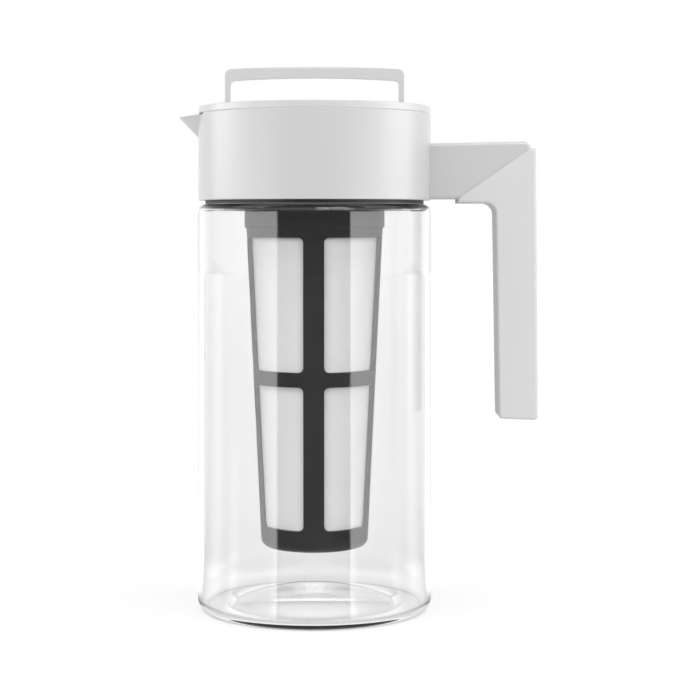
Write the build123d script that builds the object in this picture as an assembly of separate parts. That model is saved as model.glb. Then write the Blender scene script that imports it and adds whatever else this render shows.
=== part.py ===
from build123d import *
from math import sqrt
import os

# Cold brew coffee maker: a clear pitcher with a pouring collar and handle,
# a twist-lock lid and a mesh filter that screws onto the underside of the lid.
# Millimetres. The origin is on the pitcher's axis in the plane it stands on,
# +Z is up, +X points to the handle and -X to the spout.

# Vessel
vessel_radius = 57.15
vessel_wall = 2.6
shoulder_z = 197.6
shoulder_round = 3.6
foot_round = 5.5
floor_thickness = 3.0
foot_ring_width = 9.65
dome_height = 8.0
inner_dome_inset = 2.5
neck_step = 6.15
neck_height = 31.4
rim_round = 1.0
bead_height = 2.4
bead_proud = 1.4
bead_drop = 4.4

# Gasket between the shoulder and the collar
gasket_thickness = 1.9
gasket_gap = 0.1

# Pouring collar
collar_inset = 0.15
collar_wall = 2.2
collar_rise = 12.8
collar_edge_round = 0.5
collar_rim_chamfer = 0.4
sleeve_wall = 1.9
sleeve_gap = 0.15

# Spout: a V-shaped lip that widens towards the collar
spout_reach = 9.1
spout_half_width = 15.0
spout_depth = 11.5
spout_top_drop = 0.9
spout_tip_half_width = 2.6
spout_tip_depth = 0.7
spout_tip_drop = 1.45
spout_keel_round = 0.4
spout_wall = 1.6
spout_tip_wall = 0.6

# Handle: the arm is moulded with the collar and carries on as a core in the grip
arm_thickness = 21.5
arm_top_drop = 13.55
arm_top_fall = 1.25
arm_bottom_lift = 0.6
arm_reach = 48.3
arm_corner_round = 3.5
arm_edge_round = 1.6
seam_low_reach = 12.7
seam_high_drop = 3.45
core_thickness = 15.0
core_gap = 0.1

# Soft grip sleeve over the core
grip_thickness = 23.0
grip_outer_top_step = 2.45
grip_outer_bottom_step = 3.5
hand_gap_top = 31.0
hand_gap_bottom = 32.5
grip_length = 107.4
grip_bottom_fall = 0.7
grip_top_drop = 3.35
grip_top_round = 1.2
grip_wall = 3.6
grip_underlap = 2.0
grip_fillet = 5.5
grip_corner_round = 2.2
grip_edge_round = 1.5

# Lid cap
flange_inset = 0.3
flange_thickness = 3.5
flange_edge_round = 0.5
cap_wall = 2.0
skirt_wall = 1.8
skirt_rim_gap = 1.6
skirt_gap = 2.6
weld_rib_height = 7.3

# Bayonet between the lid's skirt and the collar
lug_count = 3
lug_half_angle = 12.0
lug_height = 2.2
lug_clearance = 0.4
lug_lift_gap = 0.6
lug_turn = 60.0
lug_stop_angle = 2.0
lid_lug_angle = 30.0
pour_notch_half_angle = 14.0

# Lid handle and the well that it folds into
bail_inset = 13.15
bail_leg_width = 2.55
bail_depth = 6.0
bail_height = 22.8
bail_bar_height = 5.4
bail_arch = 1.4
bail_outer_round = 3.0
bail_inner_round = 2.0
bail_top_round = 1.0
bail_heel_round = 2.9
pin_radius = 1.6
pin_length = 2.8
pin_clearance = 0.06
well_side_gap = 0.5
well_end_gap = 0.7
well_floor_gap = 0.3
well_wall = 1.6
well_corner_round = 1.2
hinge_boss_length = 4.6

# Lid plug
plug_wall = 2.6
plug_gap = 2.2
plug_depth = 23.0
plug_floor_thickness = 2.0
plug_edge_round = 1.2

# Lid seal: a silicone band with two lips
seal_drop = 10.7
seal_band_height = 4.4
seal_groove_depth = 1.2
seal_groove_gap = 0.06
seal_lip_gap = 0.3
seal_lip_thickness = 0.8
seal_lip_spacing = 2.4

# Filter
filter_ring_radius = 34.4
filter_ring_wall = 2.0
filter_ring_height = 18.4
filter_seal_thickness = 1.5
cage_step = 0.9
cage_taper = 7.5
cage_floor_gap = 19.5
cage_wall = 2.4
cage_base_thickness = 2.4
cage_foot_round = 4.0
ring_edge_round = 0.5
top_band_height = 4.7
upper_window_height = 64.3
middle_ring_height = 7.0
bottom_band_height = 10.5
bar_width = 9.9
window_round = 2.5
mesh_thickness = 0.5
mesh_gap = 0.2
mesh_margin = 2.4

# Screw thread between the filter's neck ring and the boss under the lid plug
thread_lead = 10.0
thread_starts = 2
thread_sweep = 200.0
thread_crest_width = 1.0
thread_root_width = 2.6
thread_crest_gap = 0.4
thread_seat_gap = 0.3
thread_depth = 1.6
thread_end_gap = 2.1
boss_wall = 2.2
boss_end_gap = 2.3

# How far a joined form reaches into its neighbour, and how far a cutter runs past a face
join_depth = 0.3
cut_overrun = 1.0

# Heights and radii that follow from the sizes above
dome_radius = vessel_radius - foot_round - foot_ring_width
inner_dome_radius = dome_radius - inner_dome_inset
neck_radius = vessel_radius - neck_step
neck_bore = neck_radius - vessel_wall
rim_z = shoulder_z + neck_height
gasket_radius = vessel_radius - shoulder_round
collar_radius = vessel_radius - collar_inset
collar_bore = collar_radius - collar_wall
collar_bottom_z = shoulder_z + gasket_thickness
collar_top_z = rim_z + collar_rise
arm_bottom_z = collar_bottom_z + arm_bottom_lift
arm_top_z = collar_top_z - arm_top_drop
arm_end_x = collar_radius + arm_reach
seam_low_x = collar_radius + seam_low_reach
seam_high_z = arm_top_z - seam_high_drop
grip_inner_top_x = collar_radius + hand_gap_top
grip_inner_bottom_x = collar_radius + hand_gap_bottom
grip_outer_top_x = arm_end_x + grip_outer_top_step
grip_outer_bottom_x = arm_end_x + grip_outer_bottom_step
grip_top_z = arm_top_z - grip_top_drop
grip_bottom_z = arm_bottom_z - grip_length
flange_radius = collar_radius - flange_inset
lid_top_z = collar_top_z + flange_thickness
skirt_radius = collar_bore - skirt_gap
skirt_bottom_z = rim_z + skirt_rim_gap
bail_half_span = collar_radius - bail_inset
pivot_z = lid_top_z - bail_depth / 2
well_floor_z = pivot_z - bail_depth / 2 - well_floor_gap
plug_radius = neck_bore - plug_gap
plug_top_z = lid_top_z - cap_wall - weld_rib_height
plug_floor_z = rim_z - plug_depth
seal_z = rim_z - seal_drop
filter_ring_bore = filter_ring_radius - filter_ring_wall
filter_ring_top_z = plug_floor_z - filter_seal_thickness
filter_ring_bottom_z = filter_ring_top_z - filter_ring_height
boss_radius = filter_ring_bore - thread_crest_gap - thread_depth
boss_end_z = filter_ring_bottom_z + 2 * filter_ring_wall + boss_end_gap
thread_start_z = boss_end_z + thread_end_gap
cage_top_radius = filter_ring_radius - cage_step
cage_bottom_radius = cage_top_radius - cage_taper
cage_bottom_z = dome_height + floor_thickness + cage_floor_gap
upper_window_top_z = filter_ring_bottom_z - top_band_height
middle_ring_top_z = upper_window_top_z - upper_window_height
middle_ring_bottom_z = middle_ring_top_z - middle_ring_height
lower_window_bottom_z = cage_bottom_z + bottom_band_height


def turned(corners, round_at=()):
    """Revolve a closed outline of (radius, height) corners; round_at maps a corner to its fillet."""
    fillets = dict(round_at)
    outline = FilletPolyline(*corners, radius=[fillets.get(i, 0) for i in range(len(corners))], close=True)
    return revolve(make_face(Plane.XZ * outline), Axis.Z)


def ring_sector(inner, outer, low, high, middle_angle, half_angle):
    """Part of a flat ring about Z."""
    outline = Polyline((inner, low), (outer, low), (outer, high), (inner, high), close=True)
    sector = revolve(make_face(Plane.XZ * outline), Axis.Z, 2 * half_angle)
    return Rot(0, 0, middle_angle - half_angle) * sector


def around(count, first_angle=0.0):
    """Angles of a pattern that repeats evenly round the axis."""
    return [first_angle + 360.0 * i / count for i in range(count)]


def box_between(low, high):
    """Box from its lowest to its highest corner."""
    size = [b - a for a, b in zip(low, high)]
    centre = [(a + b) / 2 for a, b in zip(low, high)]
    return Pos(*centre) * Box(*size)


def dome_line(edge_radius, edge_z, apex_z):
    """Arc from a point on the axis to the dome's edge, level at the axis."""
    rise = apex_z - edge_z
    sphere = (edge_radius**2 + rise**2) / (2 * rise)
    middle = edge_radius / 2
    middle_z = apex_z - sphere + sqrt(sphere**2 - middle**2)
    return ThreePointArc((0, apex_z), (middle, middle_z), (edge_radius, edge_z))


def thread_ridge(root_radius, crest_radius, start_z, turn):
    """One start of a right-hand screw thread: a trapezoid swept along a helix."""
    rise = thread_lead * thread_sweep / 360
    path = Helix(thread_lead, rise, root_radius)
    half_root = thread_root_width / 2
    half_crest = thread_crest_width / 2
    overlap = join_depth if crest_radius > root_radius else -join_depth
    depth = crest_radius - root_radius
    section = Plane(origin=path @ 0, x_dir=(1, 0, 0), z_dir=path % 0)
    outline = Polyline(
        (-overlap, -half_root), (0, -half_root), (depth, -half_crest), (depth, half_crest),
        (0, half_root), (-overlap, half_root), close=True)
    ridge = sweep(make_face(section * outline), path=path, is_frenet=True)
    return Pos(0, 0, start_z) * Rot(0, 0, turn) * ridge


def cage_radius(z):
    """Outer radius of the tapered cage at a height."""
    share = (z - cage_bottom_z) / (filter_ring_bottom_z - cage_bottom_z)
    return cage_bottom_radius + share * (cage_top_radius - cage_bottom_radius)


def vessel():
    """Clear pitcher: domed base, rounded shoulder and a neck with a snap bead."""
    bead_z = rim_z - bead_drop
    bead_radius = neck_radius + bead_proud
    inside = vessel_radius - vessel_wall
    ledge_z = shoulder_z - vessel_wall
    inner_shoulder_round = max(shoulder_round - vessel_wall, rim_round / 2)
    inner_foot_round = max(foot_round - vessel_wall, rim_round / 2)
    corners = [
        (dome_radius, 0), (vessel_radius, 0), (vessel_radius, shoulder_z), (neck_radius, shoulder_z),
        (neck_radius, bead_z), (bead_radius, bead_z), (bead_radius, bead_z + bead_height / 3),
        (neck_radius, bead_z + bead_height), (neck_radius, rim_z), (neck_bore, rim_z),
        (neck_bore, ledge_z), (inside, ledge_z), (inside, floor_thickness),
        (inner_dome_radius, floor_thickness)]
    fillets = [foot_round, shoulder_round, 0, 0, 0, 0, 0, rim_round, rim_round, 0,
               inner_shoulder_round, inner_foot_round]
    wall = FilletPolyline(*corners, radius=fillets)
    underside = dome_line(dome_radius, 0, dome_height)
    floor = dome_line(inner_dome_radius, floor_thickness, dome_height + floor_thickness)
    axis = Line((0, dome_height), (0, dome_height + floor_thickness))
    return revolve(make_face(Plane.XZ * Curve([underside, wall, floor, axis])), Axis.Z)


def collar_gasket():
    """Dark ring that the collar presses onto the vessel's shoulder."""
    inner = neck_radius + gasket_gap
    return turned([(inner, shoulder_z), (gasket_radius, shoulder_z),
                   (gasket_radius, collar_bottom_z), (inner, collar_bottom_z)])


def collar_ring():
    """Outer wall of the collar with the inner sleeve that snaps under the neck's bead."""
    sleeve_bore = neck_radius + sleeve_gap
    sleeve_top_z = rim_z - bead_drop
    web_z = collar_bottom_z + collar_wall
    return turned(
        [(sleeve_bore, collar_bottom_z), (collar_radius, collar_bottom_z),
         (collar_radius, collar_top_z - collar_rim_chamfer), (collar_radius - collar_rim_chamfer, collar_top_z),
         (collar_bore, collar_top_z), (collar_bore, web_z), (sleeve_bore + sleeve_wall, web_z),
         (sleeve_bore + sleeve_wall, sleeve_top_z), (sleeve_bore, sleeve_top_z)],
        {1: collar_edge_round, 5: collar_edge_round})


def spout_section(x, half_width, top_z, bottom_z, rise=0.0):
    """Cross-section of the V of the spout; rise carries its sides straight up."""
    plane = Plane(origin=(x, 0, 0), x_dir=(0, 1, 0), z_dir=(1, 0, 0))
    corners = [(half_width, top_z), (0, bottom_z), (-half_width, top_z)]
    fillets = [0, spout_keel_round, 0]
    if rise:
        corners = [(half_width, top_z + rise)] + corners + [(-half_width, top_z + rise)]
        fillets = [0] + fillets + [0]
    return make_face(plane * FilletPolyline(*corners, radius=fillets, close=True))


def spout_form(wall=0.0, tip_wall=0.0, overrun=0.0, rise=0.0):
    """Tapered V between the collar and the tip, drawn in by a wall thickness."""
    tip_x = -collar_radius - spout_reach
    root_x = -collar_radius
    tip = (spout_tip_half_width - tip_wall, collar_top_z - spout_tip_drop,
           collar_top_z - spout_tip_drop - spout_tip_depth + tip_wall)
    root = (spout_half_width - wall, collar_top_z - spout_top_drop, collar_top_z - spout_depth + wall)

    def carried_to(x):
        share = (x - tip_x) / (root_x - tip_x)
        return [a + share * (b - a) for a, b in zip(tip, root)]

    inner_x = root_x + 2 * collar_wall
    outer_x = tip_x - overrun
    sections = [spout_section(x, *carried_to(x), rise) for x in (inner_x, outer_x)]
    return loft(sections, ruled=True)


def rim_step():
    """Cutter that lowers the collar's rim to the top of the spout."""
    half = spout_half_width + 2 * collar_wall
    return box_between((-collar_radius - cut_overrun, -half, collar_top_z - spout_top_drop),
                       (2 * collar_wall - collar_bore, half, collar_top_z + cut_overrun))


def seam_cutter(above):
    """Block on one side of the slanted seam between arm and grip."""
    slope = (seam_high_z - arm_bottom_z) / (arm_end_x - seam_low_x)
    far_x = seam_low_x - arm_thickness
    far_z = seam_high_z - slope * (arm_end_x - far_x)
    corners = [(far_x, far_z), (arm_end_x, seam_high_z)]
    if above:
        corners += [(arm_end_x, arm_top_z + grip_wall), (far_x, arm_top_z + grip_wall)]
    else:
        corners += [(grip_outer_bottom_x, seam_high_z), (grip_outer_bottom_x, far_z)]
    return extrude(make_face(Plane.XZ * Polyline(*corners, close=True)), grip_thickness, both=True)


def side_plate(corners, fillets, thickness, edge_round):
    """Plate in the handle's plane with rounded long edges."""
    outline = FilletPolyline(*corners, radius=fillets, close=True)
    plate = extrude(make_face(Plane.XZ * outline), thickness / 2, both=True)
    long_edges = [e for face in plate.faces().filter_by(Axis.Y) for e in face.edges()]
    return fillet(long_edges, edge_round)


def handle_arm():
    """Arm from the collar to the slanted seam."""
    root_x = collar_bore - 4 * collar_wall
    corners = [(root_x, arm_bottom_z), (arm_end_x, arm_bottom_z), (arm_end_x, arm_top_z),
               (root_x, arm_top_z - arm_top_fall)]
    arm = side_plate(corners, [0, 0, arm_corner_round, 0], arm_thickness, arm_edge_round)
    return arm - seam_cutter(above=False)


def handle_core(gap=0.0):
    """Bar from the arm down inside the grip, with a gap added all round."""
    half = core_thickness / 2 + gap
    low = (grip_inner_bottom_x + grip_wall - gap, -half, grip_bottom_z + grip_wall - gap)
    high = (grip_outer_top_x - grip_wall + gap, half, arm_top_z - arm_edge_round)
    return box_between(low, high)


def collar_lugs():
    """Lugs on the collar's bore that the lid's lugs turn under, each with a stop at its far end."""
    low = skirt_bottom_z + lug_height + lug_lift_gap
    inner = skirt_radius + lug_clearance
    outer = collar_bore + collar_wall / 2
    lugs = []
    for angle in around(lug_count, lid_lug_angle - lug_turn):
        stop_angle = angle - lug_half_angle - lug_stop_angle
        lugs.append(ring_sector(inner, outer, low, low + lug_height, angle - lug_stop_angle,
                                lug_half_angle + lug_stop_angle))
        lugs.append(ring_sector(inner, outer, skirt_bottom_z, low + lug_height / 2,
                                stop_angle - lug_stop_angle / 2, lug_stop_angle / 2))
    return lugs


def pour_collar():
    """Collar, spout, handle arm and grip core, all one moulding."""
    height = collar_top_z - collar_bottom_z
    inside = Pos(0, 0, collar_bottom_z + height / 2) * Cylinder(collar_bore, 2 * height)
    under_lid_z = collar_top_z + spout_depth / 2
    under_lid = Pos(0, 0, under_lid_z) * Cylinder(collar_radius + spout_reach, spout_depth)
    outside_parts = spout_form() - under_lid + handle_arm() + handle_core()
    ring = collar_ring() + (outside_parts - inside)
    ring += collar_lugs()
    ring -= rim_step()
    channel = spout_form(spout_wall, spout_tip_wall, cut_overrun, rise=spout_depth)
    return ring - channel


def handle_grip():
    """Soft sleeve round the core, ending along the slanted seam."""
    under_z = arm_bottom_z - grip_underlap
    inner_bottom_z = grip_bottom_z + grip_bottom_fall
    corners = [(seam_low_x, under_z), (grip_inner_top_x, under_z), (grip_inner_bottom_x, inner_bottom_z),
               (grip_outer_bottom_x, grip_bottom_z), (grip_outer_top_x, grip_top_z), (seam_low_x, grip_top_z)]
    fillets = [0, grip_fillet, grip_corner_round, grip_corner_round, grip_top_round, 0]
    plate = side_plate(corners, fillets, grip_thickness, grip_edge_round)
    return plate - seam_cutter(above=True) - handle_core(core_gap)


def lid_cap():
    """Top shell of the lid: flange, skirt with lugs and the well for the handle."""
    top_under_z = lid_top_z - cap_wall
    rib_inner = plug_radius - plug_wall
    skirt_inner = skirt_radius - skirt_wall
    shell = turned(
        [(0, top_under_z), (rib_inner, top_under_z), (rib_inner, plug_top_z), (plug_radius, plug_top_z),
         (plug_radius, top_under_z), (skirt_inner, top_under_z), (skirt_inner, skirt_bottom_z),
         (skirt_radius, skirt_bottom_z), (skirt_radius, collar_top_z), (flange_radius, collar_top_z),
         (flange_radius, lid_top_z), (0, lid_top_z)],
        {9: collar_edge_round / 2, 10: flange_edge_round})
    half_x = bail_half_span + well_side_gap
    front_y = -bail_depth / 2 - well_end_gap
    back_y = bail_height + well_end_gap
    tub = box_between((-half_x - well_wall, front_y - well_wall, well_floor_z - well_wall),
                      (half_x + well_wall, back_y + well_wall, top_under_z + cap_wall / 2))
    well = box_between((-half_x, front_y, well_floor_z), (half_x, back_y, lid_top_z + cap_wall))
    well = fillet(well.edges().filter_by(Axis.Z), well_corner_round)
    cap = shell + tub
    for side in (-1, 1):
        inner_x = side * half_x
        outer_x = side * (half_x + hinge_boss_length)
        cap += box_between((min(inner_x, outer_x), front_y - well_wall, well_floor_z - well_wall),
                           (max(inner_x, outer_x), -front_y, top_under_z + cap_wall / 2))
    for angle in around(lug_count, lid_lug_angle):
        cap += ring_sector(skirt_radius - skirt_wall / 2, collar_bore - lug_clearance, skirt_bottom_z,
                           skirt_bottom_z + lug_height, angle, lug_half_angle)
    bore_reach = bail_half_span + pin_length + well_side_gap
    bore = Pos(0, 0, pivot_z) * Rot(0, 90, 0) * Cylinder(pin_radius + pin_clearance, 2 * bore_reach)
    notch = ring_sector(skirt_inner - cut_overrun, skirt_radius + cut_overrun,
                        skirt_bottom_z - cut_overrun, collar_top_z, 180, pour_notch_half_angle)
    return cap - well - bore - notch


def lid_handle():
    """Bail with an arched crossbar, rounded leg ends and a pin on each leg."""
    low_z = pivot_z - bail_depth / 2
    high_z = pivot_z + bail_height
    end_z = high_z - bail_arch
    inner_x = bail_half_span - bail_leg_width
    bar_z = high_z - bail_bar_height
    outer = make_face(Curve([
        Polyline((-bail_half_span, end_z), (-bail_half_span, low_z), (bail_half_span, low_z),
                 (bail_half_span, end_z)),
        ThreePointArc((bail_half_span, end_z), (0, high_z), (-bail_half_span, end_z))]))
    outer = fillet(outer.vertices().group_by(Axis.Y)[-1], bail_outer_round)
    inner_end_z = bar_z - bail_arch
    cut_z = low_z - cut_overrun
    inner = make_face(Curve([
        Polyline((-inner_x, inner_end_z), (-inner_x, cut_z), (inner_x, cut_z), (inner_x, inner_end_z)),
        ThreePointArc((inner_x, inner_end_z), (0, bar_z), (-inner_x, inner_end_z))]))
    inner = fillet(inner.vertices().group_by(Axis.Y)[-1], bail_inner_round)
    front = extrude(Plane.XZ * (outer - inner), bail_depth, both=True)
    half = bail_depth / 2
    side_rounds = [bail_heel_round, bail_heel_round, bail_top_round, bail_top_round]
    side = FilletPolyline((-half, low_z), (half, low_z), (half, high_z), (-half, high_z),
                          radius=side_rounds, close=True)
    bail = front & extrude(make_face(Plane.YZ * side), bail_half_span + cut_overrun, both=True)
    for side_sign in (-1, 1):
        centre_x = side_sign * (bail_half_span + (pin_length - join_depth) / 2)
        bail += Pos(centre_x, 0, pivot_z) * Rot(0, 90, 0) * Cylinder(pin_radius, pin_length + join_depth)
    return bail


def lid_plug():
    """Lower shell of the lid: seal groove outside and a threaded boss for the filter below."""
    inner = plug_radius - plug_wall
    floor_top_z = plug_floor_z + plug_floor_thickness
    groove_low = seal_z - seal_band_height / 2
    groove_high = seal_z + seal_band_height / 2
    groove_radius = plug_radius - seal_groove_depth
    plug = turned(
        [(0, plug_floor_z), (boss_radius - boss_wall, plug_floor_z), (boss_radius - boss_wall, boss_end_z),
         (boss_radius, boss_end_z), (boss_radius, plug_floor_z), (plug_radius, plug_floor_z),
         (plug_radius, groove_low), (groove_radius, groove_low), (groove_radius, groove_high),
         (plug_radius, groove_high), (plug_radius, plug_top_z), (inner, plug_top_z), (inner, floor_top_z),
         (0, floor_top_z)],
        {5: plug_edge_round, 12: plug_edge_round})
    for turn in around(thread_starts):
        plug += thread_ridge(boss_radius, boss_radius + thread_depth, thread_start_z, turn)
    return plug


def lid_seal():
    """Silicone band in the plug's groove with two thin lips towards the neck."""
    inner = plug_radius - seal_groove_depth + seal_groove_gap
    low = seal_z - seal_band_height / 2
    high = seal_z + seal_band_height / 2
    tip = neck_bore - seal_lip_gap
    half_lip = seal_lip_thickness / 2
    lower = seal_z - seal_lip_spacing / 2
    upper = seal_z + seal_lip_spacing / 2
    return turned([
        (inner, low), (plug_radius, low), (plug_radius, lower - half_lip), (tip, lower - half_lip),
        (tip, lower + half_lip), (plug_radius, lower + half_lip), (plug_radius, upper - half_lip),
        (tip, upper - half_lip), (tip, upper + half_lip), (plug_radius, upper + half_lip),
        (plug_radius, high), (inner, high)])


def filter_seal():
    """Flat washer on top of the filter's neck ring."""
    return turned([(filter_ring_bore, filter_ring_top_z), (filter_ring_radius, filter_ring_top_z),
                   (filter_ring_radius, plug_floor_z), (filter_ring_bore, plug_floor_z)])


def filter_window(low_z, high_z):
    """Cutter for the openings of one quarter: rounded at the corners beside each bar."""
    middle_z = (low_z + high_z) / 2
    reach = 2 * filter_ring_radius
    outline = RectangleRounded(reach, high_z - low_z, window_round)
    centre = bar_width / 2 + reach / 2
    seen_from_front = extrude(Plane.XZ * Pos(centre, middle_z) * outline, -reach)
    seen_from_side = extrude(Plane.YZ * Pos(centre, middle_z) * outline, reach)
    return seen_from_front & seen_from_side


def filter_frame():
    """Dark cage: threaded neck ring, four bars, a middle ring and a closed base."""
    step_radius = cage_radius(filter_ring_bottom_z)
    base_top_z = cage_bottom_z + cage_base_thickness
    inner_step_z = filter_ring_bottom_z + filter_ring_wall
    frame = turned(
        [(0, cage_bottom_z), (cage_bottom_radius, cage_bottom_z), (step_radius, filter_ring_bottom_z),
         (filter_ring_radius, filter_ring_bottom_z), (filter_ring_radius, filter_ring_top_z),
         (filter_ring_bore, filter_ring_top_z), (filter_ring_bore, inner_step_z + filter_ring_wall),
         (step_radius - cage_wall, inner_step_z), (step_radius - cage_wall, filter_ring_bottom_z),
         (cage_radius(base_top_z) - cage_wall, base_top_z), (0, base_top_z)],
        {1: cage_foot_round, 3: ring_edge_round, 9: cage_foot_round - cage_wall})
    windows = [filter_window(middle_ring_top_z, upper_window_top_z),
               filter_window(lower_window_bottom_z, middle_ring_bottom_z)]
    for angle in around(4):
        frame -= [Rot(0, 0, angle) * window for window in windows]
    start_z = thread_start_z + thread_seat_gap + (thread_root_width + thread_crest_width) / 2
    for turn in around(thread_starts):
        frame += thread_ridge(filter_ring_bore, filter_ring_bore - thread_depth, start_z, turn)
    return frame


def filter_mesh():
    """Fine mesh sleeve against the inside of the cage."""
    low = lower_window_bottom_z - mesh_margin
    high = upper_window_top_z + mesh_margin
    low_radius = cage_radius(low) - cage_wall - mesh_gap
    high_radius = cage_radius(high) - cage_wall - mesh_gap
    return turned([(low_radius - mesh_thickness, low), (low_radius, low),
                   (high_radius, high), (high_radius - mesh_thickness, high)])


sub_parts = {
    "vessel": vessel,
    "collar_gasket": collar_gasket,
    "pour_collar": pour_collar,
    "handle_grip": handle_grip,
    "lid_cap": lid_cap,
    "lid_plug": lid_plug,
    "lid_seal": lid_seal,
    "lid_handle": lid_handle,
    "filter_frame": filter_frame,
    "filter_mesh": filter_mesh,
    "filter_seal": filter_seal,
}

os.makedirs("parts", exist_ok=True)
for name, make in sub_parts.items():
    export_step(make(), os.path.join("parts", name + ".step"))
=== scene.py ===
import math

import bpy
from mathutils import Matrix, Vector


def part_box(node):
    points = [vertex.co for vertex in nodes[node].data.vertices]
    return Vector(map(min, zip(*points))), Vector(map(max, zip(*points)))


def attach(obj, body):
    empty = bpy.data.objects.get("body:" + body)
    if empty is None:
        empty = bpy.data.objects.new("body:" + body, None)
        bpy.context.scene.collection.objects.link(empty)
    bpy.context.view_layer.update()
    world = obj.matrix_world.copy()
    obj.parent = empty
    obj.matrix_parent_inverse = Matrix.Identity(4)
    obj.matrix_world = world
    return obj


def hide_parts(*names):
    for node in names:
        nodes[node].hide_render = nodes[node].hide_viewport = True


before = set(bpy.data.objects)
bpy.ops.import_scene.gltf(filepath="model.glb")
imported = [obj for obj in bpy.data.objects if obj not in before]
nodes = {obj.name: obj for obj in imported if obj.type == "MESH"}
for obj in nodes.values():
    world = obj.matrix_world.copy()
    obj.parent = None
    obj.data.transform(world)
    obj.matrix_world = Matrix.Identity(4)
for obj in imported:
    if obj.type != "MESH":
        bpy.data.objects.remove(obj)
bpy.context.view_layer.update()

# Vessel sizes, in metres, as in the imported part; HOLD is a short straight beside each curve
VESSEL_RADIUS = 0.05715
WALL = 0.0026
SHOULDER_Z = 0.1976
SHOULDER_ROUND = 0.0036
FOOT_ROUND = 0.0055
FLOOR = 0.003
DOME_RADIUS = 0.042
INNER_DOME_RADIUS = 0.0395
DOME_HEIGHT = 0.008
NECK_RADIUS = 0.051
BEAD_PROUD = 0.0014
BEAD_HEIGHT = 0.0024
BEAD_DROP = 0.0044
RIM_ROUND = 0.001
HOLD = 0.0002

# Steps of its curves, and the radius below which a point lies on the axis
TURN_STEPS = 256
ARC_STEPS = 10
SMALL_ARC_STEPS = 6
DOME_STEPS = 24
ON_AXIS = 1e-7

# How far a moulded surface's roughness strays either way
GLOSS_SPREAD = 0.01

# Camera: level, a little to the right of the axis, at the height of the photograph's horizon
IMAGE_SIZE = 680
HORIZON_ROW = 225
METRES_PER_PIXEL = 0.0004916
CAMERA_DISTANCE = 0.896
CAMERA_X = 0.0125
CAMERA_Z = 0.1875
SENSOR = 0.036

# Surroundings. A turn is an azimuth in radians from the camera's side, a rise the upward part of
# a direction, a slant its sideways part over its depth. Reaches and widths on the floor are in
# metres, strengths a share of the white backdrop. A pair says where a change starts and ends, or
# the values before and after it.

# Wide side lights that the clear wall mirrors: strengths by azimuth, the rise where they end, and
# the point that their mirror image on the floor turns about
VEIL_START = 0.63
VEIL_END = 2.27
VEIL_START_TURN = (VEIL_START - 0.01, VEIL_START + 0.01)
VEIL_CUT_TURN = (1.35, 1.6)
VEIL_RIM_TURN = (VEIL_END - 0.1, VEIL_END + 0.1)
VEIL_BACK_TURN = (VEIL_END + 0.3, VEIL_END + 0.55)
VEIL_FRONT = 0.2
VEIL_NEAR = 3.95
VEIL_FAR = 2.2
VEIL_EDGE = 0.8
VEIL_RIM = 1.35
VEIL_BACK = 1.0
VEIL_TOP = (0.008, 0.014)
VEIL_CENTRE_Y = -0.030

# What the collar, the handle and the shoulder mirror
GLOSS_FRONT = 0.2
GLOSS_SIDE = 2.0
GLOSS_TURN = (0.8, 1.3)
GLOSS_BACK = 1.15
LEFT_STRIP = (-2.0, -1.40)
RIGHT_STRIP = (1.26, 1.92)
STRIP_BLEND = 0.15
GLOSS_STRIP = 6.5
GLOSS_ABOVE = 1.0
ABOVE_RISE = (0.25, 0.45)
GLOSS_INSIDE = 1.0
PATCH = 7.0
PATCH_TURN = (0.05, 0.78)
PATCH_RISE = (0.5, 0.86)
PATCH_BLEND = 0.03

# What is mirrored deep in the vessel, by light that has been through both walls
DEEP_COUNT = 4
GLOSS_DEEP = 0.7
GLOSS_DEEP_ABOVE = (1.2, 0.65)
DEEP_SLANT = (0.02, 0.04)
DEEP_RISE = (0.1, 0.19)

# Soft light on matt surfaces, outside the vessel and through its wall
PANEL_END = 2.05
PANEL_BLEND = 0.03
PANELS_MEET = (-0.1, 0.1)
DIFFUSE_FRONT = 1.14
DIFFUSE_PANELS = (1.43, 1.66)
DIFFUSE_BACK = 0.4
INSIDE_FRONT = 4.4
INSIDE_PANEL = 1.5
INSIDE_BACK = 0.8

# The backdrop seen through the vessel
BACKDROP_TURN = (2.75, 2.85)
BACKDROP_SIDE = 0.875
BACKDROP_EDGE = 0.24

# The two directions that the rounded sides of the wall look through to: offset from the axis at
# the vessel and its growth with distance, where the change starts and ends. EDGE_SPAN and
# RIM_SPAN count in widths of that change.
EDGE_NEAR = (0.0362, 0.0418)
EDGE_FAR = (0.0735, 0.097)
EDGE_SPAN = (7.0, 12.0)
CAMERA_SKEW = 0.0139

# Floor: its own tones and a painted darker tone where it is mirrored, then its glow as it is seen
# directly, through the vessel and mirrored
FLOOR_HALF = 6.0
FLOOR_TONES = (0.30, 0.32)
FLOOR_SHADE_MIRRORED = 0.05
FLOOR_GLOW = 0.73
# Painted contact shadow: the directly seen floor's glow drops to this share of FLOOR_GLOW near the
# foot
CONTACT_SHADOW_SHARE = 0.4
CONTACT_SHADOW_REACH = (0.0515, 0.0565)
FLOOR_BOUNCE = 0.4
FLOOR_BOUNCE_INSIDE = 0.0
MIDDLE_TAPER = -0.0315
MIDDLE_WIDTH = (0.014, 0.024)
FLOOR_MIDDLE = 0.57
FLOOR_SIDE = 0.30
FLOOR_EDGE = 0.27
FLOOR_RIM = 0.15
RIM_SPAN = (1.4, 2.6)
FLOOR_FAR = 0.05
FAR_DEPTH = (0.9, 4.0)
FLOOR_NEAR = 0.12
NEAR_REACH = (0.08, 0.12)
FLOOR_BELOW = (0.5, 0.28)
BELOW_REACH = (0.015, 0.05)
MIRRORED_NEAR = 0.5
MIRRORED_NEAR_REACH = (0.06, 0.085)
MIRRORED_BELOW = 0.45
MIRRORED_BELOW_REACH = (0.045, 0.06)
MIRRORED_DEEP = (1.7, 0.7)
MIRRORED_DEEP_REACH = (0.06, 0.12)

# Sharp edges stay crisp above these angles, in degrees
LATHE_CREASE = 35
NODE_CREASE = 28
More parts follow.
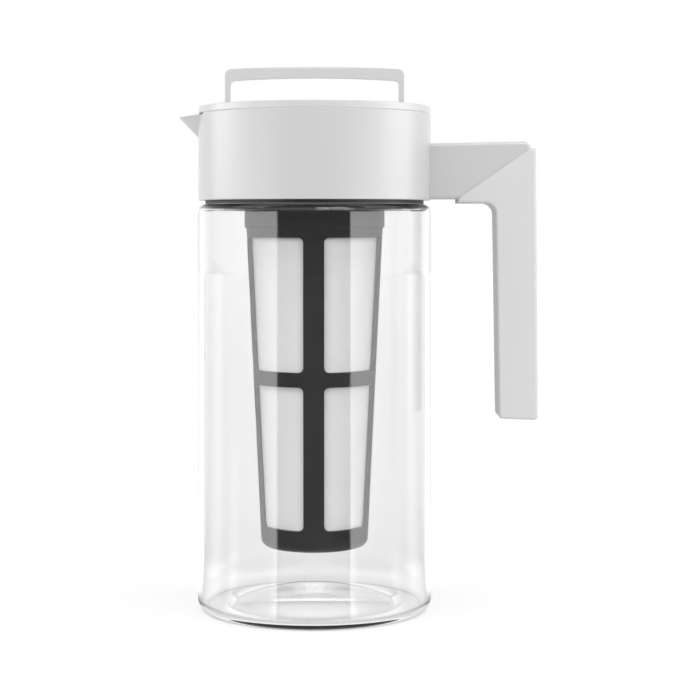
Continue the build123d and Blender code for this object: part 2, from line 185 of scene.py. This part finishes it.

# Heights between which the gasket turns from a pale grey on its bedded face to dark above;
# the dark is painted shadow of the gap under the collar
GASKET_SHADOW_EDGE = (0.1977, 0.1979)


def arc_points(centre, radius, start, end, steps=ARC_STEPS):
    """Points on an arc in the (radius, height) plane; angles in degrees."""
    points = []
    for i in range(steps + 1):
        angle = math.radians(start + (end - start) * i / steps)
        across = radius * math.cos(angle)
        up = radius * math.sin(angle)
        points.append((centre[0] + across, centre[1] + up))
    return points


def dome_points(edge_radius, edge_z, rise, steps=DOME_STEPS):
    """Points from the axis to the edge of a shallow dome."""
    sphere = (edge_radius ** 2 + rise ** 2) / (2 * rise)
    points = []
    for i in range(steps + 1):
        r = edge_radius * i / steps
        points.append((r, edge_z + rise - sphere + math.sqrt(sphere ** 2 - r ** 2)))
    return points


def lathe(name, profile, steps=TURN_STEPS):
    """Closed surface of revolution; the profile starts and ends on the axis or closes on itself."""
    verts, faces, rings = [], [], []
    for r, z in profile:
        if r < ON_AXIS:
            rings.append([len(verts)])
            verts.append((0.0, 0.0, z))
        else:
            first = len(verts)
            rings.append(list(range(first, first + steps)))
            for i in range(steps):
                angle = 2 * math.pi * i / steps
                verts.append((r * math.cos(angle), r * math.sin(angle), z))
    pairs = list(zip(rings, rings[1:]))
    if profile[0][0] > ON_AXIS:
        pairs.append((rings[-1], rings[0]))
    for low, high in pairs:
        for i in range(steps):
            j = (i + 1) % steps
            if len(low) == 1:
                faces.append((low[0], high[j], high[i]))
            elif len(high) == 1:
                faces.append((low[i], low[j], high[0]))
            else:
                faces.append((low[i], low[j], high[j], high[i]))
    mesh = bpy.data.meshes.new(name)
    mesh.from_pydata(verts, [], faces)
    mesh.validate()
    piece = bpy.data.objects.new(name, mesh)
    bpy.context.scene.collection.objects.link(piece)
    soften(piece, LATHE_CREASE)
    return piece


def soften(piece, angle):
    """Smooth shading with crisp edges above an angle in degrees."""
    mesh = piece.data
    mesh.shade_smooth()
    mesh.set_sharp_from_angle(angle=math.radians(angle))


def new_material(name):
    """Material with a Principled shader; returns its node tree's links and a node maker too."""
    material = bpy.data.materials.new(name)
    material.use_nodes = True
    tree = material.node_tree
    shader = tree.nodes["Principled BSDF"]

    def node(kind, **values):
        made = tree.nodes.new(kind)
        for key, value in values.items():
            if key in made.inputs:
                made.inputs[key].default_value = value
            else:
                setattr(made, key, value)
        return made

    return material, shader, node, tree.links.new


def tinted(tree, share, low, high):
    """Colour between low and high by a share; each may be three numbers or a socket."""
    mix = tree.nodes.new("ShaderNodeMix")
    mix.data_type = "RGBA"
    tree.links.new(share, mix.inputs[0])
    for slot, value in ((6, low), (7, high)):
        if isinstance(value, tuple):
            mix.inputs[slot].default_value = (*value, 1)
        else:
            tree.links.new(value, mix.inputs[slot])
    return mix.outputs[2]


def moulded(name, colour, shade, roughness, grain_scale, grain, specular=0.5):
    """Moulded plastic: slow shifts of tone, a fine skin grain and uneven gloss."""
    material, shader, node, link = new_material(name)
    place = node("ShaderNodeTexCoord")
    slow = node("ShaderNodeTexNoise", Scale=38.0, Detail=3.0, Roughness=0.55)
    link(place.outputs["Object"], slow.inputs["Vector"])
    tones = tinted(material.node_tree, slow.outputs["Fac"], colour, shade)
    link(tones, shader.inputs["Base Color"])
    gloss = node("ShaderNodeMapRange")
    gloss.inputs["To Min"].default_value = roughness - GLOSS_SPREAD
    gloss.inputs["To Max"].default_value = roughness + GLOSS_SPREAD
    link(slow.outputs["Fac"], gloss.inputs["Value"])
    link(gloss.outputs["Result"], shader.inputs["Roughness"])
    fine = node("ShaderNodeTexNoise", Scale=grain_scale, Detail=2.0)
    link(place.outputs["Object"], fine.inputs["Vector"])
    bump = node("ShaderNodeBump", Strength=grain, Distance=0.0002)
    link(fine.outputs["Fac"], bump.inputs["Height"])
    link(bump.outputs["Normal"], shader.inputs["Normal"])
    shader.inputs["Specular IOR Level"].default_value = specular
    return material


def two_tone(material, low, high, colour, shade):
    """Give a material a second colour below a height, changing to its own by a higher one."""
    tree = material.node_tree
    base = tree.nodes["Principled BSDF"].inputs["Base Color"]
    own = base.links[0].from_socket
    place = tree.nodes.new("ShaderNodeTexCoord")
    split = tree.nodes.new("ShaderNodeSeparateXYZ")
    tree.links.new(place.outputs["Object"], split.inputs["Vector"])
    noise = tree.nodes.new("ShaderNodeTexNoise")
    noise.inputs["Scale"].default_value = 55.0
    tree.links.new(place.outputs["Object"], noise.inputs["Vector"])
    second = tinted(tree, noise.outputs["Fac"], colour, shade)
    both = tinted(tree, ramp(tree, split.outputs["Z"], low, high), second, own)
    tree.links.new(both, base)


def clear_plastic():
    """Clear copolyester: faint flow ripple from moulding and a slight grey in its depth."""
    material, shader, node, link = new_material("clear_plastic")
    shader.inputs["Base Color"].default_value = (0.93, 0.932, 0.932, 1)
    shader.inputs["Transmission Weight"].default_value = 1.0
    shader.inputs["IOR"].default_value = 1.46
    place = node("ShaderNodeTexCoord")
    ripple = node("ShaderNodeTexNoise", Scale=9.0, Detail=1.0)
    link(place.outputs["Object"], ripple.inputs["Vector"])
    bump = node("ShaderNodeBump", Strength=0.05, Distance=0.0004)
    link(ripple.outputs["Fac"], bump.inputs["Height"])
    link(bump.outputs["Normal"], shader.inputs["Normal"])
    gloss = node("ShaderNodeMapRange")
    gloss.inputs["To Min"].default_value = 0.0
    gloss.inputs["To Max"].default_value = 0.03
    link(ripple.outputs["Fac"], gloss.inputs["Value"])
    link(gloss.outputs["Result"], shader.inputs["Roughness"])
    return material


def woven_mesh():
    """Fine nylon mesh: threads round the axis and along it, part see-through between them."""
    material, shader, node, link = new_material("woven_mesh")
    threads_round = 360.0
    threads_per_metre = 2000.0
    place = node("ShaderNodeTexCoord")
    split = node("ShaderNodeSeparateXYZ")
    link(place.outputs["Object"], split.inputs["Vector"])
    angle = node("ShaderNodeMath", operation="ARCTAN2")
    link(split.outputs["Y"], angle.inputs[0])
    link(split.outputs["X"], angle.inputs[1])
    waves = []
    rates = ((angle.outputs[0], threads_round / 2),
             (split.outputs["Z"], threads_per_metre * math.pi))
    for source, rate in rates:
        scaled = node("ShaderNodeMath", operation="MULTIPLY")
        scaled.inputs[1].default_value = rate
        link(source, scaled.inputs[0])
        sine = node("ShaderNodeMath", operation="SINE")
        link(scaled.outputs[0], sine.inputs[0])
        height = node("ShaderNodeMath", operation="ABSOLUTE")
        link(sine.outputs[0], height.inputs[0])
        waves.append(height)
    weave = node("ShaderNodeMath", operation="MAXIMUM")
    link(waves[0].outputs[0], weave.inputs[0])
    link(waves[1].outputs[0], weave.inputs[1])
    cover = node("ShaderNodeMapRange")
    cover.inputs["From Min"].default_value = 0.4
    cover.inputs["From Max"].default_value = 0.9
    cover.inputs["To Min"].default_value = 0.45
    cover.inputs["To Max"].default_value = 0.85
    link(weave.outputs[0], cover.inputs["Value"])
    link(cover.outputs["Result"], shader.inputs["Alpha"])
    tone = tinted(material.node_tree, weave.outputs[0], (0.88, 0.87, 0.87), (0.94, 0.935, 0.935))
    link(tone, shader.inputs["Base Color"])
    bump = node("ShaderNodeBump", Strength=0.15, Distance=0.0001)
    link(weave.outputs[0], bump.inputs["Height"])
    link(bump.outputs["Normal"], shader.inputs["Normal"])
    shader.inputs["Roughness"].default_value = 0.55
    return material


def vessel_profile():
    """Outside from the dome's top to the rim, then back down the inside, as (radius, height)."""
    rim_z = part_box("vessel")[1].z
    bore = NECK_RADIUS - WALL
    inside = VESSEL_RADIUS - WALL
    bead_z = rim_z - BEAD_DROP
    outer = dome_points(DOME_RADIUS, 0.0, DOME_HEIGHT)
    shoulder_low = SHOULDER_Z - SHOULDER_ROUND
    outer += arc_points((VESSEL_RADIUS - FOOT_ROUND, FOOT_ROUND), FOOT_ROUND, -90, 0)
    outer += [(VESSEL_RADIUS, FOOT_ROUND + HOLD), (VESSEL_RADIUS, shoulder_low - HOLD)]
    outer += arc_points((VESSEL_RADIUS - SHOULDER_ROUND, shoulder_low), SHOULDER_ROUND, 0, 90)
    bead_radius = NECK_RADIUS + BEAD_PROUD
    outer += [(NECK_RADIUS, SHOULDER_Z), (NECK_RADIUS, bead_z), (bead_radius, bead_z),
              (bead_radius, bead_z + BEAD_HEIGHT / 3), (NECK_RADIUS, bead_z + BEAD_HEIGHT)]
    outer += [(NECK_RADIUS, rim_z - RIM_ROUND - HOLD)]
    rim_centre_z = rim_z - RIM_ROUND
    rim_outside = (NECK_RADIUS - RIM_ROUND, rim_centre_z)
    rim_inside = (bore + RIM_ROUND, rim_centre_z)
    outer += arc_points(rim_outside, RIM_ROUND, 0, 90, SMALL_ARC_STEPS)
    inner = arc_points(rim_inside, RIM_ROUND, 90, 180, SMALL_ARC_STEPS)
    inner += [(bore, rim_z - RIM_ROUND - HOLD), (bore, SHOULDER_Z - WALL)]
    round_top = SHOULDER_ROUND - WALL
    round_foot = FOOT_ROUND - WALL
    inner_top = SHOULDER_Z - WALL - round_top
    inner += arc_points((inside - round_top, inner_top), round_top, 90, 0, SMALL_ARC_STEPS)
    inner += [(inside, inner_top - HOLD), (inside, FLOOR + round_foot + HOLD)]
    inner += arc_points((inside - round_foot, FLOOR + round_foot), round_foot, 0, -90)
    inner += reversed(dome_points(INNER_DOME_RADIUS, FLOOR, DOME_HEIGHT))
    return outer + inner


def dress(name, material):
    """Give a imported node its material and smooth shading."""
    piece = nodes[name]
    piece.data.materials.clear()
    piece.data.materials.append(material)
    soften(piece, NODE_CREASE)


def make_vessel():
    piece = lathe("clear_vessel", vessel_profile())
    piece.data.materials.append(clear_plastic())
    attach(piece, "pitcher")
    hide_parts("vessel")


def dress_nodes():
    """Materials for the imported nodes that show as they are."""
    white = moulded("white_plastic", (0.60, 0.60, 0.60), (0.607, 0.607, 0.607),
                    roughness=0.3, grain_scale=900.0, grain=0.04)
    # The lid's copy of the white plastic is a little lighter: painted light that makes up for the
    # shade on the lid and its handle
    lid = moulded("lid_plastic_painted_lighter", (0.642, 0.642, 0.642), (0.65, 0.65, 0.65),
                  roughness=0.3, grain_scale=900.0, grain=0.04)
    grip = moulded("soft_grip", (0.675, 0.675, 0.675), (0.69, 0.69, 0.69),
                   roughness=0.5, grain_scale=2200.0, grain=0.2, specular=0.4)
    dark = moulded("dark_plastic", (0.014, 0.014, 0.014), (0.019, 0.019, 0.019),
                   roughness=0.42, grain_scale=1500.0, grain=0.12, specular=0.3)
    # Gasket rubber: its dark colour is painted shadow of the gap under the collar; its lowest face
    # is pale grey
    gasket = moulded("dark_rubber", (0.012, 0.013, 0.008), (0.02, 0.022, 0.014),
                     roughness=0.55, grain_scale=1800.0, grain=0.2)
    two_tone(gasket, *GASKET_SHADOW_EDGE, (0.34, 0.34, 0.335), (0.38, 0.38, 0.375))
    silicone = moulded("silicone", (0.62, 0.62, 0.61), (0.68, 0.68, 0.67),
                       roughness=0.45, grain_scale=1600.0, grain=0.15)
    dress("pour_collar", white)
    for name in ("lid_cap", "lid_plug", "lid_handle"):
        dress(name, lid)
    dress("handle_grip", grip)
    dress("filter_frame", dark)
    dress("collar_gasket", gasket)
    dress("lid_seal", silicone)
    dress("filter_seal", silicone)
    dress("filter_mesh", woven_mesh())


def maths(tree, operation, *values):
    """Maths node; each value may be a number or a socket."""
    node = tree.nodes.new("ShaderNodeMath")
    node.operation = operation
    for i, value in enumerate(values):
        if isinstance(value, (int, float)):
            node.inputs[i].default_value = value
        else:
            tree.links.new(value, node.inputs[i])
    return node.outputs[0]


def ramp(tree, source, start, end, low=0.0, high=1.0):
    """Smooth change from low to high while a value goes from start to end."""
    change = tree.nodes.new("ShaderNodeMapRange")
    change.interpolation_type = "SMOOTHSTEP"
    for name, value in (("From Min", start), ("From Max", end), ("To Min", low), ("To Max", high)):
        change.inputs[name].default_value = value
    tree.links.new(source, change.inputs["Value"])
    return change.outputs["Result"]


def band(tree, source, low, high, blend):
    """1 where a value lies between two limits, with soft sides."""
    rise = ramp(tree, source, low - blend, low + blend)
    fall = ramp(tree, source, high - blend, high + blend, 1.0, 0.0)
    return maths(tree, "MULTIPLY", rise, fall)


def mixed(tree, share, low, high):
    """Value between low and high by a share; each may be a number or a socket."""
    mix = tree.nodes.new("ShaderNodeMix")
    tree.links.new(share, mix.inputs[0])
    for slot, value in ((2, low), (3, high)):
        if isinstance(value, (int, float)):
            mix.inputs[slot].default_value = value
        else:
            tree.links.new(value, mix.inputs[slot])
    return mix.outputs[0]


def after_bounce(tree, path, kind, count=1):
    """1 once a light path has had that many bounces of a kind."""
    return maths(tree, "GREATER_THAN", path.outputs[kind], count - 0.5)


def veil(tree, turn):
    """Strength of the wide side lights that the clear wall mirrors, by azimuth either way."""
    side = ramp(tree, turn, VEIL_START, VEIL_END, VEIL_NEAR, VEIL_FAR)
    side = mixed(tree, ramp(tree, turn, *VEIL_CUT_TURN), side, VEIL_EDGE)
    side = mixed(tree, ramp(tree, turn, *VEIL_RIM_TURN), side, VEIL_RIM)
    side = mixed(tree, ramp(tree, turn, *VEIL_BACK_TURN), side, VEIL_BACK)
    return mixed(tree, ramp(tree, turn, *VEIL_START_TURN), VEIL_FRONT, side)


def edge(tree, aside):
    """1 in the two directions that the rounded sides of the clear wall look through to."""
    rise = ramp(tree, aside, 0.0, 1.0)
    return maths(tree, "MULTIPLY", rise, ramp(tree, aside, *EDGE_SPAN, 1.0, 0.0))


def floor_mirrored(tree, path, point, reach, sideways):
    """Glow of the floor as it is mirrored: the side lights far out, an even tone near the vessel."""
    across = maths(tree, "ABSOLUTE", point.outputs["X"])
    forward = maths(tree, "SUBTRACT", VEIL_CENTRE_Y, point.outputs["Y"])
    mirrored = veil(tree, maths(tree, "ARCTAN2", across, forward))
    mirrored = mixed(tree, ramp(tree, reach, *MIRRORED_NEAR_REACH), MIRRORED_NEAR, mirrored)
    below = ramp(tree, reach, *MIRRORED_BELOW_REACH, MIRRORED_BELOW, 0.0)
    mirrored = maths(tree, "ADD", mirrored, below)
    deep = maths(tree, "MULTIPLY", ramp(tree, reach, *MIRRORED_DEEP_REACH, 1.0, 0.0),
                 mixed(tree, sideways, *MIRRORED_DEEP))
    return mixed(tree, after_bounce(tree, path, "Transmission Depth", DEEP_COUNT), mirrored, deep)


def floor_through(tree, point, reach, skewed, sideways):
    """Glow of the floor as it is seen through the vessel."""
    through = mixed(tree, sideways, FLOOR_MIDDLE, FLOOR_SIDE)
    depth = maths(tree, "ABSOLUTE", point.outputs["Y"])
    start = maths(tree, "MULTIPLY_ADD", depth, EDGE_FAR[0], EDGE_NEAR[0])
    near_width = EDGE_NEAR[1] - EDGE_NEAR[0]
    far_width = EDGE_FAR[1] - EDGE_FAR[0]
    width = maths(tree, "MULTIPLY_ADD", depth, far_width, near_width)
    aside = maths(tree, "DIVIDE", maths(tree, "SUBTRACT", skewed, start), width)
    through = maths(tree, "MULTIPLY_ADD", edge(tree, aside), FLOOR_EDGE, through)
    far = ramp(tree, point.outputs["Y"], *FAR_DEPTH, 0.0, FLOOR_FAR)
    through = maths(tree, "ADD", through, far)
    through = maths(tree, "ADD", through, ramp(tree, aside, *RIM_SPAN, 0.0, FLOOR_RIM))
    below = ramp(tree, reach, *BELOW_REACH, 1.0, 0.0)
    through = maths(tree, "MULTIPLY_ADD", below, mixed(tree, sideways, *FLOOR_BELOW), through)
    return maths(tree, "ADD", through, ramp(tree, reach, *NEAR_REACH, FLOOR_NEAR, 0.0))


def make_floor():
    """Pale floor that glows. Its glow paints a contact shadow round the vessel's foot and the light
    and reflections seen in the vessel.
    """
    half = FLOOR_HALF
    corners = [(-half, -half, 0), (half, -half, 0), (half, half, 0), (-half, half, 0)]
    mesh = bpy.data.meshes.new("floor")
    mesh.from_pydata(corners, [], [(0, 1, 2, 3)])
    floor = bpy.data.objects.new("floor", mesh)
    bpy.context.scene.collection.objects.link(floor)
    material, shader, node, link = new_material("floor_white")
    tree = material.node_tree
    place = node("ShaderNodeTexCoord")
    noise = node("ShaderNodeTexNoise", Scale=60.0)
    link(place.outputs["Object"], noise.inputs["Vector"])
    low, high = ((grey, grey, grey) for grey in FLOOR_TONES)
    tone = tinted(tree, noise.outputs["Fac"], low, high)
    shader.inputs["Roughness"].default_value = 0.9
    shader.inputs["Specular IOR Level"].default_value = 0.0
    shader.inputs["Emission Color"].default_value = (1, 1, 1, 1)
    path = node("ShaderNodeLightPath")
    point = node("ShaderNodeSeparateXYZ")
    link(place.outputs["Object"], point.inputs["Vector"])
    length = node("ShaderNodeVectorMath", operation="LENGTH")
    link(place.outputs["Object"], length.inputs[0])
    reach = length.outputs["Value"]
    skewed = maths(tree, "MULTIPLY_ADD", point.outputs["Y"], CAMERA_SKEW, point.outputs["X"])
    skewed = maths(tree, "ABSOLUTE", skewed)
    beside = maths(tree, "MULTIPLY_ADD", point.outputs["Y"], MIDDLE_TAPER, skewed)
    sideways = ramp(tree, beside, *MIDDLE_WIDTH)
    mirrored = floor_mirrored(tree, path, point, reach, sideways)
    through = floor_through(tree, point, reach, skewed, sideways)
    # Painted contact shadow on the directly seen floor, round the vessel's foot
    direct = ramp(tree, reach, *CONTACT_SHADOW_REACH, CONTACT_SHADOW_SHARE * FLOOR_GLOW, FLOOR_GLOW)
    inside = after_bounce(tree, path, "Transmission Depth")
    glossy = after_bounce(tree, path, "Glossy Depth")
    glow = mixed(tree, glossy, mixed(tree, inside, direct, through), mirrored)
    bounce = mixed(tree, inside, FLOOR_BOUNCE, FLOOR_BOUNCE_INSIDE)
    glow = mixed(tree, after_bounce(tree, path, "Diffuse Depth"), glow, bounce)
    link(glow, shader.inputs["Emission Strength"])
    # Painted shade: the floor's colour turns dark grey where it is seen mirrored
    mirrored_painted_shade = tinted(tree, glossy, tone, (FLOOR_SHADE_MIRRORED,) * 3)
    link(mirrored_painted_shade, shader.inputs["Base Color"])
    mesh.materials.append(material)


def mirrored_world(tree, path, azimuth, turn, rise, slant, behind):
    """Strength of the surroundings as they are mirrored."""
    through = after_bounce(tree, path, "Transmission Depth")
    sides = ramp(tree, turn, *GLOSS_TURN, GLOSS_FRONT, GLOSS_SIDE)
    gloss = mixed(tree, behind, sides, GLOSS_BACK)
    for low, high in (LEFT_STRIP, RIGHT_STRIP):
        strip = mixed(tree, through, band(tree, azimuth, low, high, STRIP_BLEND), 0.0)
        gloss = mixed(tree, strip, gloss, GLOSS_STRIP)
    gloss = mixed(tree, ramp(tree, rise, *ABOVE_RISE), gloss, GLOSS_ABOVE)
    gloss = mixed(tree, through, gloss, GLOSS_INSIDE)
    patch = maths(tree, "MULTIPLY", band(tree, azimuth, *PATCH_TURN, PATCH_BLEND),
                  band(tree, rise, *PATCH_RISE, PATCH_BLEND))
    gloss = mixed(tree, patch, gloss, PATCH)
    gloss = mixed(tree, ramp(tree, rise, *VEIL_TOP), veil(tree, turn), gloss)
    deep = mixed(tree, ramp(tree, slant, *DEEP_SLANT), *GLOSS_DEEP_ABOVE)
    deep = mixed(tree, ramp(tree, rise, *DEEP_RISE), GLOSS_DEEP, deep)
    return mixed(tree, after_bounce(tree, path, "Transmission Depth", DEEP_COUNT), gloss, deep)


def make_world():
    """White surroundings to the eye; as a light, wide soft panels at the sides and a dim front."""
    world = bpy.data.worlds.new("studio")
    bpy.context.scene.world = world
    world.use_nodes = True
    tree = world.node_tree
    background = tree.nodes["Background"]
    background.inputs["Color"].default_value = (1, 1, 1, 1)
    direction = tree.nodes.new("ShaderNodeTexCoord")
    split = tree.nodes.new("ShaderNodeSeparateXYZ")
    tree.links.new(direction.outputs["Generated"], split.inputs["Vector"])
    path = tree.nodes.new("ShaderNodeLightPath")
    forward = maths(tree, "MULTIPLY", split.outputs["Y"], -1.0)
    azimuth = maths(tree, "ARCTAN2", split.outputs["X"], forward)
    turn = maths(tree, "ABSOLUTE", azimuth)
    slant = maths(tree, "DIVIDE", split.outputs["X"], split.outputs["Y"])
    slant = maths(tree, "ABSOLUTE", maths(tree, "ADD", slant, CAMERA_SKEW))
    side = band(tree, turn, VEIL_START, PANEL_END, PANEL_BLEND)
    behind = ramp(tree, turn, PANEL_END - PANEL_BLEND, PANEL_END + PANEL_BLEND)
    panels = ramp(tree, azimuth, *PANELS_MEET, *DIFFUSE_PANELS)
    lit = mixed(tree, side, mixed(tree, behind, DIFFUSE_FRONT, DIFFUSE_BACK), panels)
    inside = mixed(tree, side, mixed(tree, behind, INSIDE_FRONT, INSIDE_BACK), INSIDE_PANEL)
    gloss = mirrored_world(tree, path, azimuth, turn, split.outputs["Z"], slant, behind)
    seen = mixed(tree, ramp(tree, turn, *BACKDROP_TURN), 1.0, BACKDROP_SIDE)
    aside = maths(tree, "SUBTRACT", slant, EDGE_FAR[0])
    aside = maths(tree, "DIVIDE", aside, EDGE_FAR[1] - EDGE_FAR[0])
    seen = maths(tree, "MULTIPLY_ADD", edge(tree, aside), BACKDROP_EDGE, seen)
    through = after_bounce(tree, path, "Transmission Depth")
    strength = mixed(tree, through, 1.0, seen)
    strength = mixed(tree, after_bounce(tree, path, "Glossy Depth"), strength, gloss)
    lit = mixed(tree, through, lit, inside)
    strength = mixed(tree, after_bounce(tree, path, "Diffuse Depth"), strength, lit)
    tree.links.new(strength, background.inputs["Strength"])


def make_camera():
    """Level camera with the photograph's field and horizon."""
    camera = bpy.data.cameras.new("camera")
    view_width = IMAGE_SIZE * METRES_PER_PIXEL
    camera.sensor_width = SENSOR * 1000
    camera.lens = SENSOR * 1000 * CAMERA_DISTANCE / view_width
    camera.shift_y = (HORIZON_ROW - IMAGE_SIZE / 2) / IMAGE_SIZE
    camera.clip_start = 0.05
    camera.clip_end = 50.0
    holder = bpy.data.objects.new("camera", camera)
    bpy.context.scene.collection.objects.link(holder)
    holder.location = (CAMERA_X, -CAMERA_DISTANCE, CAMERA_Z)
    holder.rotation_euler = (math.radians(90), 0, 0)
    bpy.context.scene.camera = holder
    bpy.context.scene.view_settings.view_transform = "Standard"


make_vessel()
dress_nodes()
make_floor()
make_world()
make_camera()
